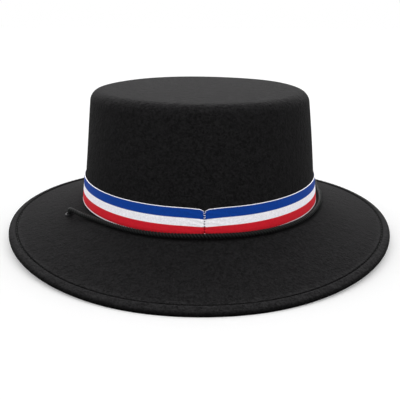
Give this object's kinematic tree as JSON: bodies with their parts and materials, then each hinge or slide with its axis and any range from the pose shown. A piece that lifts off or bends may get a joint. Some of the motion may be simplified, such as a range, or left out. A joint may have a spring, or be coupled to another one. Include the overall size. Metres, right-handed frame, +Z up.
{
  "type": "huaso hat",
  "caption": "Flat-topped black felt hat with a wide stitched brim, a striped woven ribbon and a twisted chin cord, hollow and open below for a head.",
  "frame": {"origin": "on the surface that the hat rests on, under the centre of its bounding box", "axes": "+Z up out of the crown, -Y the side with the ribbon's seam, which faces the viewer, +X to the viewer's right"},
  "size_m": [0.292, 0.3128, 0.1062],
  "materials": {
    "felt": "matte black wool felt with a stitched hem",
    "ribbon": "ribbed woven ribbon with a blue, a white and a red stripe and white edges",
    "eyelet": "glossy black enamel on a rolled metal eyelet",
    "cord": "black twisted cord with a slight sheen"
  },
  "bodies": {
    "root": {"felt_body": "felt", "ribbon_band": "ribbon", "eyelet_left": "eyelet", "eyelet_right": "eyelet", "chin_cord": "cord", "cord_knot": "cord"}
  },
  "joints": []
}
